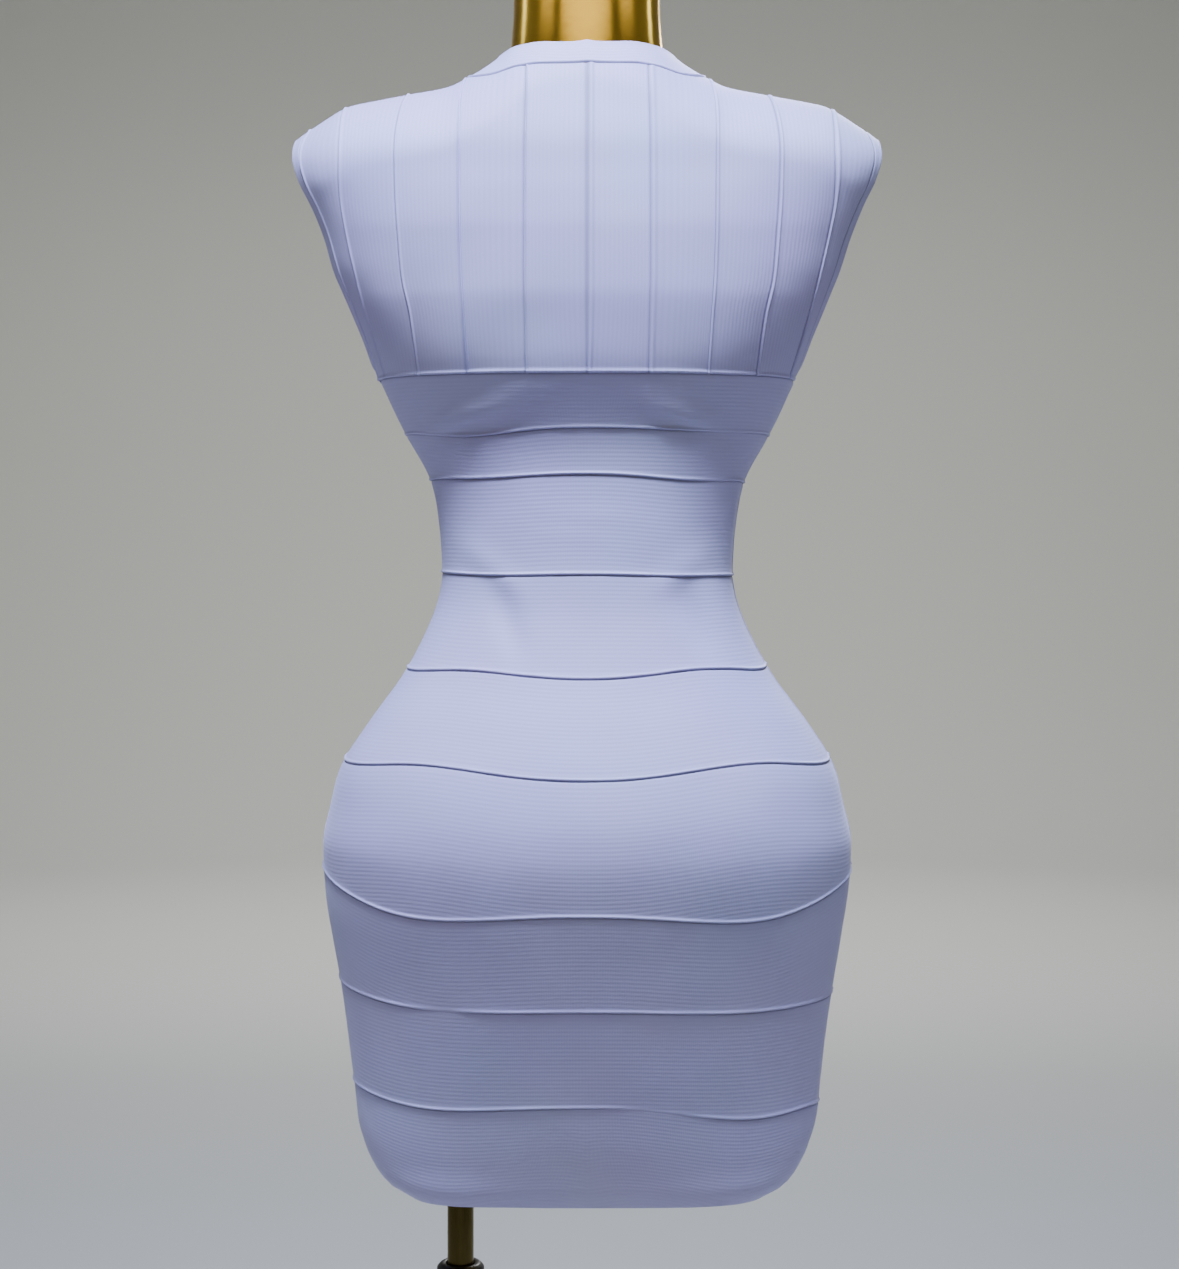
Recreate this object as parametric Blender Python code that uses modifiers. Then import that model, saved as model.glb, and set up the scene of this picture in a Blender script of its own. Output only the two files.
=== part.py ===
"""Bandage bodycon dress on a limbless dress form with an off-centre pole.

Run with: blender --background --python part.py

The dress faces -Y and +Z is up. The origin is on the floor, under the middle of the form.
Tables and sizes are in millimetres, heights in the body tables are measured from the waist,
and every point is turned to metres when its mesh is made.
"""

import math

import bmesh
import bpy
from mathutils import Vector

MM = 0.001

# ---- driving sizes ----
WAIST_HEIGHT = 1050.0      # floor to waist
WALL = 1.5                 # thickness of the knitted cloth
SEAM_GAP = 0.3             # between neighbouring pieces
SHOULDER_ROUND = 60.0      # height over which the body closes to the top of the shoulder
FORM_INSET = 5.0           # dress form's skin, inside the cloth's outer face

BAND_COLUMNS = 16          # facets across the back or the front of one band
STRIP_COLUMNS = 2          # facets across one shoulder strip
NECK_COLUMNS = (2, 4)      # facets along the neck seam in the first and the second strip
STRIP_FALLS = (0.0, 0.03, 0.09, 0.17, 0.27, 0.40, 0.55, 0.70, 0.82, 0.93, 1.0)

POLE_X = 91.0              # the pole stands off centre, towards the wearer's left
ROD_RADIUS = 9.5
TUBE_RADIUS = 12.7
TUBE_BORE = 10.4
COLLAR_RADIUS = 17.0
COLLAR_TOP = 556.0         # above the floor
COLLAR_HEIGHT = 34.0
ROD_ENGAGED = 260.0        # length of rod inside the tube as shown
BASE_RADIUS = 190.0
BASE_THICKNESS = 8.0
FORM_BOTTOM = -398.0
NECK_TOP = 452.0

# ---- the body that the cloth lies on: one row for each level section ----
# height from the waist, half width, depth behind the axis, depth before it, squareness
SECTIONS = (
    (-438, 122, 60, 66, 4.5),
    (-429, 142, 66.5, 74.5, 3.5),
    (-414, 154.5, 72, 81, 2.8),
    (-400, 160.5, 77, 86.5, 2.55),
    (-388, 164, 81, 90, 2.4),
    (-360, 167, 88.5, 94, 2.3),
    (-293, 176, 107, 98, 2.25),
    (-260, 181.5, 116, 99.5, 2.25),
    (-226, 187, 125, 101, 2.25),
    (-190, 189, 131, 102, 2.25),
    (-165, 184, 129, 103, 2.25),
    (-135, 176, 119, 103, 2.25),
    (-105, 157, 104, 102, 2.25),
    (-69, 131, 85, 97, 2.2),
    (-30, 111, 71, 88, 2.2),
    (0, 104, 66.5, 84, 2.2),
    (35, 106, 65.5, 86, 2.2),
    (69, 113, 66, 93, 2.25),
    (101, 130, 70, 107, 2.35),
    (139, 148, 86, 122, 2.6),
    (150, 153.5, 89, 125, 2.7),
    (170, 161.8, 92, 127, 2.9),
    (195, 173.2, 95, 124, 3.0),
    (214, 181.9, 95, 119, 3.0),
    (239, 190, 95, 110, 3.0),
    (262, 199.5, 92.6, 101, 3.0),
    (278, 207.7, 90, 95, 3.0),
    (302, 216.5, 86, 86, 3.0),
    (330, 219, 77, 76, 3.0),
    (355, 219, 68, 66, 3.0),
    (373, 219, 62, 62, 3.0),
)

# top of the shoulder: distance from the middle, height from the waist
CREST = (
    (0, 402),
    (30, 396),
    (50, 384),
    (62, 372.5),
    (72, 365),
    (86, 356.5),
    (99, 350),
    (127, 344.5),
    (158, 339),
    (171, 336),
    (182, 330),
    (193, 323),
    (205, 315.4),
    (211, 310),
)

# neck opening and neck seam, seen from above: half width, depth behind, depth before, squareness
NECK_EDGE = (62, 52, 66, 2.3)
NECK_SEAM = (86, 66, 80, 2.6)

# armhole edge and armhole seam, seen from the side: top, bottom, depth
ARMHOLE_EDGE = (311, 150, 39)
ARMHOLE_SEAM = (319, 139, 49)
ARMHOLE_FULLNESS = 0.8

# lengthwise seams of the strips: height from the waist, then each seam's distance from the middle
STRIP_SEAMS = (
    (139, 0, 42, 82, 117, 142),
    (180, 0, 42.5, 84.5, 122, 153.5),
    (203, 0, 43, 86, 127, 159.5),
    (231, 0, 43, 87, 129.5, 166),
    (261, 0, 43, 87.5, 131.5, 171),
    (300, 0, 43, 88, 132.5, 172),
    (331, 0, 42.5, 88.5, 130, 173.5),
    (357, 0, 42.5, 86, 126, 173.5),
)

# crosswise seams: height at the middle of the back, the wearer's left side, right side, front,
# and how far the seam dips between the middle of the back and the left and the right side
BAND_SEAMS = (
    (139, 139, 139, 139, 0, 0),
    (102.5, 100, 100, 100, 5, 1.5),
    (70.5, 67.5, 66, 68, 2, 3),
    (1, 2, -0.5, 0, 1, 1),
    (-70, -66, -65, -67, -4, -5),
    (-136, -130, -130, -131, -7, -8),
    (-226, -205, -208, -213, 8, 9.5),
    (-293, -286, -298, -292, 3, 3),
    (-362, -360, -378, -366, 5, 9),
    (-438, -438, -438, -438, 0, 0),
)
FRONT_DIP = 0.4            # share of a seam's dip that it has in front
# rows of facets down each band, as shares of its height
EVEN_FALLS = (0.0, 1 / 3, 2 / 3, 1.0)
SEAT_FALLS = (0.0, 0.25, 0.5, 0.75, 1.0)
HEM_FALLS = (0.0, 0.3, 0.55, 0.76, 0.9, 1.0)
BAND_FALLS = (EVEN_FALLS,) * 5 + (SEAT_FALLS,) + (EVEN_FALLS,) * 2 + (HEM_FALLS,)

# soft ridges of the cloth: side (1 back, -1 front), start across and height,
# end across and height, half breadth, rise
FOLDS = (
    (1, 96, 108, 40, 122, 7, 2.0),
    (1, -90, 107, -34, 121, 7, 2.0),
    (1, 84, 22, 44, -14, 9, 1.6),
    (1, -82, 18, -46, -12, 9, 1.5),
    (-1, 88, 110, 42, 120, 8, 1.8),
    (-1, -92, 108, -38, 119, 8, 1.8),
    (-1, 80, 20, 40, -10, 9, 1.4),
    (-1, -84, 22, -44, -12, 9, 1.5),
)

# finishes: base colour, roughness, metallic
FINISHES = {
    "knit": ((0.52, 0.50, 0.68), 0.75, 0.0),
    "gold": ((0.72, 0.52, 0.20), 0.18, 1.0),
    "brass": ((0.20, 0.16, 0.07), 0.28, 1.0),
    "black": ((0.02, 0.02, 0.02), 0.45, 0.0),
}


# ---- reading the tables ----
def read_table(table, key):
    """Row of the table at a key between its rows, on a smooth curve through them."""
    if key <= table[0][0]:
        return table[0][1:]
    if key >= table[-1][0]:
        return table[-1][1:]
    index = next(i for i in range(len(table) - 1) if key <= table[i + 1][0])
    low, high = table[index], table[index + 1]
    before = table[max(index - 1, 0)]
    after = table[min(index + 2, len(table) - 1)]
    span = high[0] - low[0]
    t = (key - low[0]) / span
    values = []
    for a, b, c, d in zip(before[1:], low[1:], high[1:], after[1:]):
        rise_low = (c - a) / (high[0] - before[0]) * span
        rise_high = (d - b) / (after[0] - low[0]) * span
        step = c - b
        rise_low = limit_rise(rise_low, step)
        rise_high = limit_rise(rise_high, step)
        values.append(
            b * (1 + 2 * t) * (1 - t) ** 2
            + c * t * t * (3 - 2 * t)
            + rise_low * t * (1 - t) ** 2
            - rise_high * t * t * (1 - t)
        )
    return values


def limit_rise(rise, step):
    """Slope kept between flat and three times the step, so that no curve overshoots its rows."""
    if rise * step <= 0:
        return 0.0
    return math.copysign(min(abs(rise), 3 * abs(step)), step)


def crest_height(x):
    return read_table(CREST, abs(x))[0]


def crest_reach(height):
    """Distance from the middle at which the top of the shoulder has this height."""
    low, high = 0.0, CREST[-1][0]
    for _ in range(40):
        middle = (low + high) / 2
        if crest_height(middle) > height:
            low = middle
        else:
            high = middle
    return low


def closing(x, height, inset=0.0):
    """Share of the full depth that is left near the top of the shoulder."""
    t = (crest_height(x) - inset - height) / SHOULDER_ROUND
    if t >= 1:
        return 1.0
    return math.sqrt(max(0.0, 1 - (1 - t) ** 2))


def surface_depth(x, height, side, inset=0.0):
    """Distance of the surface behind (side 1) or before (side -1) the axis."""
    width, back, front, square = read_table(SECTIONS, height)
    depth = (back if side > 0 else front) - inset
    ratio = min(1.0, abs(x) / (width - inset))
    return depth * (1 - ratio**square) ** (1 / square) * closing(x, height, inset)


def angle_of(x, height):
    """Angle round the section, from the middle of the back or front, of a distance across."""
    width, _, _, square = read_table(SECTIONS, height)
    return math.asin(min(1.0, (abs(x) / width) ** (square / 2)))


def across_of(angle, height):
    width, _, _, square = read_table(SECTIONS, height)
    return width * math.sin(angle) ** (2 / square)


def surface_point(x, height, side):
    return Vector((x, side * surface_depth(x, height, side), height))


def across_at(depth, height, side):
    """Distance across at which the surface has this depth, found by halving."""
    low = 60.0
    high = min(read_table(SECTIONS, height)[0], crest_reach(height))
    for _ in range(40):
        middle = (low + high) / 2
        if surface_depth(middle, height, side) > depth:
            low = middle
        else:
            high = middle
    return (low + high) / 2


def level(point):
    """How far outside the body a point is, as a number that grows outwards."""
    x, y, height = point
    width, back, front, square = read_table(SECTIONS, height)
    depth = back if y >= 0 else front
    t = (crest_height(x) - height) / SHOULDER_ROUND
    if t < 0.5:
        ratio = min(0.999, abs(x) / width)
        full = depth * (1 - ratio**square) ** (1 / square)
        return (y / full) ** 2 + (1 - t) ** 2
    share = closing(x, height)
    return (abs(x) / width) ** square + (abs(y) / (depth * share)) ** square


def outward(point):
    """Unit normal of the body's surface, from differences of its level."""
    step = 0.4
    slope = []
    for axis in range(3):
        ahead = Vector(point)
        behind = Vector(point)
        ahead[axis] += step
        behind[axis] -= step
        slope.append(level(ahead) - level(behind))
    return Vector(slope).normalized()


def fold_rise(point):
    """Height of the soft ridges at a point of the cloth."""
    rise = 0.0
    for side, x_start, z_start, x_end, z_end, breadth, top in FOLDS:
        if side * point.y <= 0:
            continue
        run = Vector((x_end - x_start, z_end - z_start))
        offset = Vector((point.x - x_start, point.z - z_start))
        along = offset.dot(run) / run.length_squared
        along = min(1.0, max(0.0, along))
        away = (offset - run * along).length / breadth
        rise += top * math.sin(math.pi * (0.1 + 0.8 * along)) * math.exp(-away * away)
    return rise


# ---- making meshes ----
def finish_object(name, mesh, finish):
    colour, roughness, metallic = FINISHES[finish]
    material = bpy.data.materials.get(finish) or bpy.data.materials.new(finish)
    material.use_nodes = True
    shader = material.node_tree.nodes["Principled BSDF"]
    shader.inputs["Base Color"].default_value = (*colour, 1.0)
    shader.inputs["Roughness"].default_value = roughness
    shader.inputs["Metallic"].default_value = metallic
    mesh.materials.append(material)
    item = bpy.data.objects.new(name, mesh)
    PARTS.objects.link(item)
    return item


def in_metres(point):
    return Vector((point.x, point.y, point.z + WAIST_HEIGHT)) * MM


def set_back(grid, rims, ring):
    """Move the sewn rims of a piece in by half the seam gap, along the surface."""
    rows, columns = len(grid), len(grid[0])
    moved = [[Vector(point) for point in row] for row in grid]
    for i in range(rows):
        for j in range(columns):
            point = grid[i][j]
            normal = outward(point)
            for rim, on_rim, ahead, behind, inner in (
                ("top", i == 0, (0, j + 1), (0, j - 1), (1, j)),
                ("bottom", i == rows - 1, (i, j + 1), (i, j - 1), (i - 1, j)),
                ("left", j == 0, (i + 1, j), (i - 1, j), (i, 1)),
                ("right", j == columns - 1, (i + 1, j), (i - 1, j), (i, j - 1)),
            ):
                if not on_rim or rim not in rims:
                    continue
                tangent = grid_point(grid, ahead, ring) - grid_point(grid, behind, ring)
                inward = tangent.cross(normal).normalized()
                if inward.dot(grid[inner[0]][inner[1] % columns] - point) < 0:
                    inward = -inward
                moved[i][j] += inward * SEAM_GAP / 2
    return moved


def grid_point(grid, place, ring):
    i = min(max(place[0], 0), len(grid) - 1)
    columns = len(grid[0])
    j = place[1] % columns if ring else min(max(place[1], 0), columns - 1)
    return grid[i][j]


def cloth_wall(name, grid, rims, level_rows=(), ring=False):
    """Closed wall of cloth whose outer face runs through a grid of points.

    The rims in level_rows are cut level, so that neighbours with other facets still clear them.
    """
    grid = set_back(grid, rims, ring)
    rows, columns = len(grid), len(grid[0])
    work = bmesh.new()
    outer, inner = [], []
    for i, row in enumerate(grid):
        for point in row:
            normal = outward(point)
            face = point + normal * fold_rise(point)
            if i in level_rows:
                normal = Vector((normal.x, normal.y, 0.0)).normalized()
            outer.append(work.verts.new(in_metres(face)))
            inner.append(work.verts.new(in_metres(face - normal * WALL)))
    last = columns if ring else columns - 1
    for i in range(rows - 1):
        for j in range(last):
            corners = (
                i * columns + j,
                i * columns + (j + 1) % columns,
                (i + 1) * columns + (j + 1) % columns,
                (i + 1) * columns + j,
            )
            work.faces.new([outer[c] for c in corners])
            work.faces.new([inner[c] for c in reversed(corners)])
    for a, b in rim_edges(rows, columns, ring):
        work.faces.new((outer[b], outer[a], inner[a], inner[b]))
    bmesh.ops.recalc_face_normals(work, faces=work.faces[:])
    mesh = bpy.data.meshes.new(name)
    work.to_mesh(mesh)
    work.free()
    return finish_object(name, mesh, "knit")


def rim_edges(rows, columns, ring):
    """Pairs of grid places along the free border, in the direction of the outer faces."""
    last = columns if ring else columns - 1
    bottom = (rows - 1) * columns
    edges = [(j, (j + 1) % columns) for j in range(last)]
    edges += [(bottom + (j + 1) % columns, bottom + j) for j in range(last)]
    if not ring:
        edges += [((i + 1) * columns, i * columns) for i in range(rows - 1)]
        edges += [
            (i * columns + columns - 1, (i + 1) * columns + columns - 1)
            for i in range(rows - 1)
        ]
    return edges


# ---- the dress ----
def band_seam_height(seam, x, share, side):
    """Height of a crosswise seam where the section has this share of its full depth."""
    back, left, right, front, left_dip, right_dip = seam
    flank, dip = (left, left_dip) if x >= 0 else (right, right_dip)
    middle = back
    if side < 0:
        middle, dip = front, dip * FRONT_DIP
    hump = share**4 * (1 - share) / (0.8**4 * 0.2)
    return flank + (middle - flank) * share - dip * hump


def band_piece(name, upper, lower, falls, side, hem):
    """Half of one crosswise band, from side seam to side seam."""
    grid = []
    for fall in falls:
        line = []
        for j in range(BAND_COLUMNS + 1):
            angle = math.pi * (j / BAND_COLUMNS - 0.5)
            hand = 1 if angle >= 0 else -1
            share = math.cos(angle)
            top = band_seam_height(upper, hand, share, side)
            bottom = band_seam_height(lower, hand, share, side)
            height = top + (bottom - top) * fall
            x = hand * across_of(abs(angle), height)
            line.append(surface_point(x, height, side))
        grid.append(line)
    if hem:
        return cloth_wall(name, grid, {"top", "left", "right"}, level_rows=(0,))
    rims = {"top", "bottom", "left", "right"}
    return cloth_wall(name, grid, rims, level_rows=(0, len(falls) - 1))


def loop_depth(loop, height):
    """Distance of an armhole loop from the plane of the shoulder's top."""
    top, bottom, depth = loop
    middle = (top + bottom) / 2
    cosine = min(1.0, max(-1.0, (height - middle) / ((top - bottom) / 2)))
    return depth * math.sqrt(1 - cosine * cosine) ** ARMHOLE_FULLNESS


def loop_point(loop, fall, side):
    """Point of an armhole loop on the body, at a share of its drop."""
    top, bottom, _ = loop
    height = top + (bottom - top) * fall
    depth = loop_depth(loop, height)
    if depth < 0.01:
        x = min(read_table(SECTIONS, height)[0], crest_reach(height))
        return Vector((x, 0.0, height))
    return Vector((across_at(depth, height, side), side * depth, height))


def seam_angle(seam, height, side):
    """Angle of a lengthwise seam at a height; the last seam is the armhole's."""
    if seam < len(STRIP_SEAMS[0]) - 1:
        return angle_of(read_table(STRIP_SEAMS, height)[seam], height)
    height = min(height, ARMHOLE_SEAM[0])
    depth = loop_depth(ARMHOLE_SEAM, height)
    if depth < 0.01:
        return angle_of(crest_reach(height) if height > 200 else 1e3, height)
    return angle_of(across_at(depth, height, side), height)


def neck_point(loop, angle, side):
    """Point of the neck's edge or seam, at an angle seen from above."""
    width, back, front, square = loop
    depth = back if side > 0 else front
    x = width * math.sin(angle) ** (2 / square)
    y = depth * max(0.0, math.cos(angle)) ** (2 / square)
    if y < 0.01:
        return Vector((x, 0.0, crest_height(x)))
    return Vector((x, side * y, height_at(x, y, side)))


def height_at(x, depth, side):
    """Height of the body at a depth near the neck, also below the rounded part."""
    low, high = 240.0, crest_height(x)
    for _ in range(40):
        middle = (low + high) / 2
        if surface_depth(x, middle, side) > depth:
            low = middle
        else:
            high = middle
    return (low + high) / 2


def neck_angles():
    """Angles of the points along a quarter of the neck seam, one list for each strip."""
    meeting = angle_in_loop(NECK_SEAM, STRIP_SEAMS[-1][2])
    first = [meeting * j / NECK_COLUMNS[0] for j in range(NECK_COLUMNS[0] + 1)]
    rest = math.pi / 2 - meeting
    second = [meeting + rest * j / NECK_COLUMNS[1] for j in range(NECK_COLUMNS[1] + 1)]
    return first, second


def angle_in_loop(loop, x):
    return math.asin((x / loop[0]) ** (loop[3] / 2))


def strip_tops(number, side):
    """Top point of each column of a strip, on the neck seam or on the shoulder's top."""
    if number < 2:
        return [neck_point(NECK_SEAM, angle, side) for angle in neck_angles()[number]]
    tops = []
    for j in range(STRIP_COLUMNS + 1):
        share = j / STRIP_COLUMNS
        x = 100.0
        for _ in range(30):
            height = crest_height(x)
            near = seam_angle(number, height, side)
            far = seam_angle(number + 1, height, side)
            x = across_of(near + (far - near) * share, height)
        tops.append(Vector((x, 0.0, crest_height(x))))
    return tops


def top_share(number, top, side):
    """Place of a strip's top point between the strip's two seams, from 0 to 1."""
    near = seam_angle(number, top.z, side)
    far = seam_angle(number + 1, top.z, side)
    return min(1.0, max(0.0, (angle_of(top.x, top.z) - near) / (far - near)))


def strip_piece(name, number, hand, side):
    """One lengthwise strip between the shoulder and the first crosswise seam."""
    tops = strip_tops(number, side)
    shares = [top_share(number, top, side) for top in tops]
    bottom = BAND_SEAMS[0][0]
    grid = []
    for fall in STRIP_FALLS:
        line = []
        for j, top in enumerate(tops):
            height = top.z + (bottom - top.z) * fall
            share = shares[j]
            near = seam_angle(number, height, side)
            far = seam_angle(number + 1, height, side)
            x = across_of(near + (far - near) * share, height)
            point = surface_point(x, height, side)
            if fall == 0.0:
                point = Vector(top)
            line.append(Vector((hand * point.x, point.y, point.z)))
        grid.append(line)
    level = (len(STRIP_FALLS) - 1,)
    return cloth_wall(name, grid, {"top", "bottom", "left", "right"}, level_rows=level)


def armhole_band(name, hand):
    """Ring of cloth between the armhole's edge and its seam."""
    places = [(fall, 1) for fall in STRIP_FALLS]
    places += [(fall, -1) for fall in reversed(STRIP_FALLS[1:-1])]
    grid = []
    for share in (0.0, 0.5, 1.0):
        line = []
        for fall, side in places:
            edge = loop_point(ARMHOLE_EDGE, fall, side)
            seam = loop_point(ARMHOLE_SEAM, fall, side)
            point = edge.lerp(seam, share)
            if share == 0.5:
                point = middle_point(point, fall, side)
            line.append(Vector((hand * point.x, point.y, point.z)))
        grid.append(line)
    return cloth_wall(name, grid, {"bottom"}, ring=True)


def middle_point(point, fall, side):
    """Point half way over the armhole band, put back on the body."""
    if 0.0 < fall < 1.0:
        x = across_at(abs(point.y), point.z, side)
    else:
        x = min(read_table(SECTIONS, point.z)[0], crest_reach(point.z))
    return Vector((x, point.y, point.z))


def neckband():
    """Ring of cloth round the neck, from its edge to the neck seam."""
    first, second = neck_angles()
    quarter = first + second[1:]
    seam_turn = [(angle, 1, 1) for angle in quarter]
    seam_turn += [(angle, 1, -1) for angle in reversed(quarter[:-1])]
    seam_turn += [(angle, -1, -1) for angle in quarter[1:]]
    seam_turn += [(angle, -1, 1) for angle in reversed(quarter[1:-1])]
    grid = []
    for share in (0.0, 0.5, 1.0):
        loop = [a + (b - a) * share for a, b in zip(NECK_EDGE, NECK_SEAM)]
        line = []
        for angle, hand, side in seam_turn:
            point = neck_point(loop, angle, side)
            line.append(Vector((hand * point.x, point.y, point.z)))
        grid.append(line)
    return cloth_wall("neckband", grid, {"bottom"}, ring=True)


def build_dress():
    neckband()
    for hand, word in ((1, "left"), (-1, "right")):
        armhole_band(f"armhole_band_{word}", hand)
        for number in range(len(STRIP_SEAMS[0]) - 1):
            strip_piece(f"back_strip_{number + 1}_{word}", number, hand, 1)
            strip_piece(f"front_strip_{number + 1}_{word}", number, hand, -1)
    for k, falls in enumerate(BAND_FALLS):
        hem = k == len(BAND_FALLS) - 1
        band_piece(f"band_{k + 1}_back", BAND_SEAMS[k], BAND_SEAMS[k + 1], falls, 1, hem)
        band_piece(f"band_{k + 1}_front", BAND_SEAMS[k], BAND_SEAMS[k + 1], falls, -1, hem)


# ---- the dress form ----
FORM_HEIGHTS = (
    -388, -360, -326, -293, -260, -226, -190, -165, -135, -105, -69, -30, 0, 35, 69,
    101, 120, 139, 146, 154, 170, 195, 214, 239, 262, 278, 290, 300, 308, 316, 323, 330,
    334, 338, 342, 346, 351, 358, 366,
)
# neck of the form: height from the waist, half width, depth behind, depth before
FORM_NECK = (
    (380, 54.5, 45.5, 48),
    (400, 53, 45, 47),
    (444, 52.5, 45, 47),
    (NECK_TOP, 48, 41, 43),
)
# bottom of the form: height from the waist, share of the lowest section
FORM_FOOT = ((FORM_BOTTOM, 0.90), (-394, 0.96))
PLATE_FOOT = 148.0         # arm plate: height of its lowest point
PLATE_X = 136.0            # and its distance from the middle there
PLATE_LEAN = 0.37          # how fast it leans out as it rises
FORM_COLUMNS = 32


def form_ring(height):
    """Level section of the form, inside the cloth, with flat arm plates."""
    width, _, _, square = read_table(SECTIONS, height)
    reach = min(width - FORM_INSET, crest_reach(height + FORM_INSET))
    ring = []
    for j in range(FORM_COLUMNS):
        angle = 2 * math.pi * j / FORM_COLUMNS
        sine, cosine = math.sin(angle), math.cos(angle)
        x = reach * abs(sine) ** (2 / square)
        side = 1 if cosine >= 0 else -1
        y = surface_depth(x, height, side, FORM_INSET)
        if abs(cosine) < 1e-6:
            y = 0.0
        if height > PLATE_FOOT:
            x = min(x, PLATE_X + (height - PLATE_FOOT) * PLATE_LEAN)
        ring.append(Vector((math.copysign(x, sine), side * y, height)))
    return ring


def neck_ring(height, width, back, front):
    ring = []
    for j in range(FORM_COLUMNS):
        angle = 2 * math.pi * j / FORM_COLUMNS
        depth = back if math.cos(angle) >= 0 else front
        ring.append(Vector((width * math.sin(angle), depth * math.cos(angle), height)))
    return ring


def build_form():
    """Smooth limbless torso: rings from the foot to the top of the neck, closed at both ends."""
    lowest = form_ring(FORM_HEIGHTS[0])
    rings = []
    for height, share in FORM_FOOT:
        rings.append([Vector((p.x * share, p.y * share, height)) for p in lowest])
    rings += [form_ring(height) for height in FORM_HEIGHTS]
    rings += [neck_ring(*row) for row in FORM_NECK]
    work = bmesh.new()
    circles = [[work.verts.new(in_metres(point)) for point in ring] for ring in rings]
    for low, high in zip(circles, circles[1:]):
        for j in range(FORM_COLUMNS):
            k = (j + 1) % FORM_COLUMNS
            work.faces.new((low[j], low[k], high[k], high[j]))
    work.faces.new(circles[0])
    work.faces.new(circles[-1])
    bmesh.ops.recalc_face_normals(work, faces=work.faces[:])
    mesh = bpy.data.meshes.new("form_torso")
    work.to_mesh(mesh)
    work.free()
    return finish_object("form_torso", mesh, "gold")


# ---- the stand ----
def turned(name, profile, x, finish, steps=24):
    """Turned piece: a profile of (radius, height above the floor), from the top down its outside."""
    mesh = bpy.data.meshes.new(name)
    closed = profile[0][0] > 0
    points = [(radius * MM, 0.0, height * MM) for radius, height in profile]
    edges = [(i, i + 1) for i in range(len(points) - 1)]
    if closed:
        edges.append((len(points) - 1, 0))
    mesh.from_pydata(points, edges, [])
    item = finish_object(name, mesh, finish)
    item.location = (x * MM, 0.0, 0.0)
    screw = item.modifiers.new("Turn", "SCREW")
    screw.steps = steps
    screw.render_steps = steps
    screw.use_merge_vertices = True
    screw.merge_threshold = 0.00001
    return item


def build_stand():
    collar_foot = COLLAR_TOP - COLLAR_HEIGHT
    tube_top = COLLAR_TOP - 6.0
    rod_top = WAIST_HEIGHT + FORM_BOTTOM - 20.0
    flange_top = BASE_THICKNESS + SEAM_GAP + 6.0
    hub_top = flange_top + 26.0
    form_foot = WAIST_HEIGHT + FORM_BOTTOM - SEAM_GAP

    turned(
        "base_plate",
        ((0, BASE_THICKNESS), (BASE_RADIUS - 3, BASE_THICKNESS), (BASE_RADIUS, BASE_THICKNESS - 3),
         (BASE_RADIUS, 1.0), (BASE_RADIUS - 1, 0), (0, 0)),
        0.0, "brass", 64,
    )
    turned(
        "base_flange",
        ((TUBE_RADIUS + SEAM_GAP, hub_top), (18, hub_top), (20, hub_top - 2), (20, flange_top + 4),
         (34, flange_top), (36, flange_top - 2), (36, BASE_THICKNESS + SEAM_GAP),
         (TUBE_RADIUS + SEAM_GAP, BASE_THICKNESS + SEAM_GAP)),
        POLE_X, "brass",
    )
    turned(
        "pole_lower",
        ((TUBE_BORE, tube_top), (TUBE_RADIUS, tube_top), (TUBE_RADIUS, BASE_THICKNESS + SEAM_GAP),
         (TUBE_BORE, BASE_THICKNESS + SEAM_GAP)),
        POLE_X, "brass",
    )
    turned(
        "pole_collar",
        ((TUBE_BORE, COLLAR_TOP), (COLLAR_RADIUS - 3, COLLAR_TOP), (COLLAR_RADIUS, COLLAR_TOP - 3),
         (COLLAR_RADIUS, collar_foot), (TUBE_RADIUS + SEAM_GAP, collar_foot),
         (TUBE_RADIUS + SEAM_GAP, tube_top + SEAM_GAP), (TUBE_BORE, tube_top + SEAM_GAP)),
        POLE_X, "black",
    )
    turned(
        "pole_upper",
        ((0, rod_top), (ROD_RADIUS - 1, rod_top), (ROD_RADIUS, rod_top - 1),
         (ROD_RADIUS, COLLAR_TOP - ROD_ENGAGED + 1), (ROD_RADIUS - 1, COLLAR_TOP - ROD_ENGAGED),
         (0, COLLAR_TOP - ROD_ENGAGED)),
        POLE_X, "brass",
    )
    socket_wall = ROD_RADIUS + SEAM_GAP
    turned(
        "form_socket",
        ((0, form_foot), (30, form_foot), (30, form_foot - 4), (15, form_foot - 7),
         (14, form_foot - 34), (socket_wall, form_foot - 34), (socket_wall, rod_top + SEAM_GAP),
         (0, rod_top + SEAM_GAP)),
        POLE_X, "brass",
    )
    clamp_knob((COLLAR_TOP + collar_foot) / 2 - 4)


def clamp_knob(height):
    """Thumb knob of the collar, lying along X on the side away from the middle."""
    knob = turned(
        "collar_knob",
        ((0, 20), (8, 20), (10, 18), (10, 9), (5, 7), (5, 0), (0, 0)),
        0.0, "black", 20,
    )
    knob.location = ((POLE_X + COLLAR_RADIUS + SEAM_GAP) * MM, 0.0, height * MM)
    knob.rotation_euler = (0.0, math.radians(90), 0.0)


def clear_scene():
    for item in list(bpy.data.objects):
        bpy.data.objects.remove(item)


clear_scene()
PARTS = bpy.data.collections.new("bodycon_dress_on_form")
bpy.context.scene.collection.children.link(PARTS)
build_dress()
build_form()
build_stand()
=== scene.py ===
"""Looks of a bandage-knit bodycon dress on a gold dress form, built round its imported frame."""
import functools
import math

import bmesh
import bpy
from bpy.props import FloatProperty, FloatVectorProperty, PointerProperty
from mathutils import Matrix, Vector, noise


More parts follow.
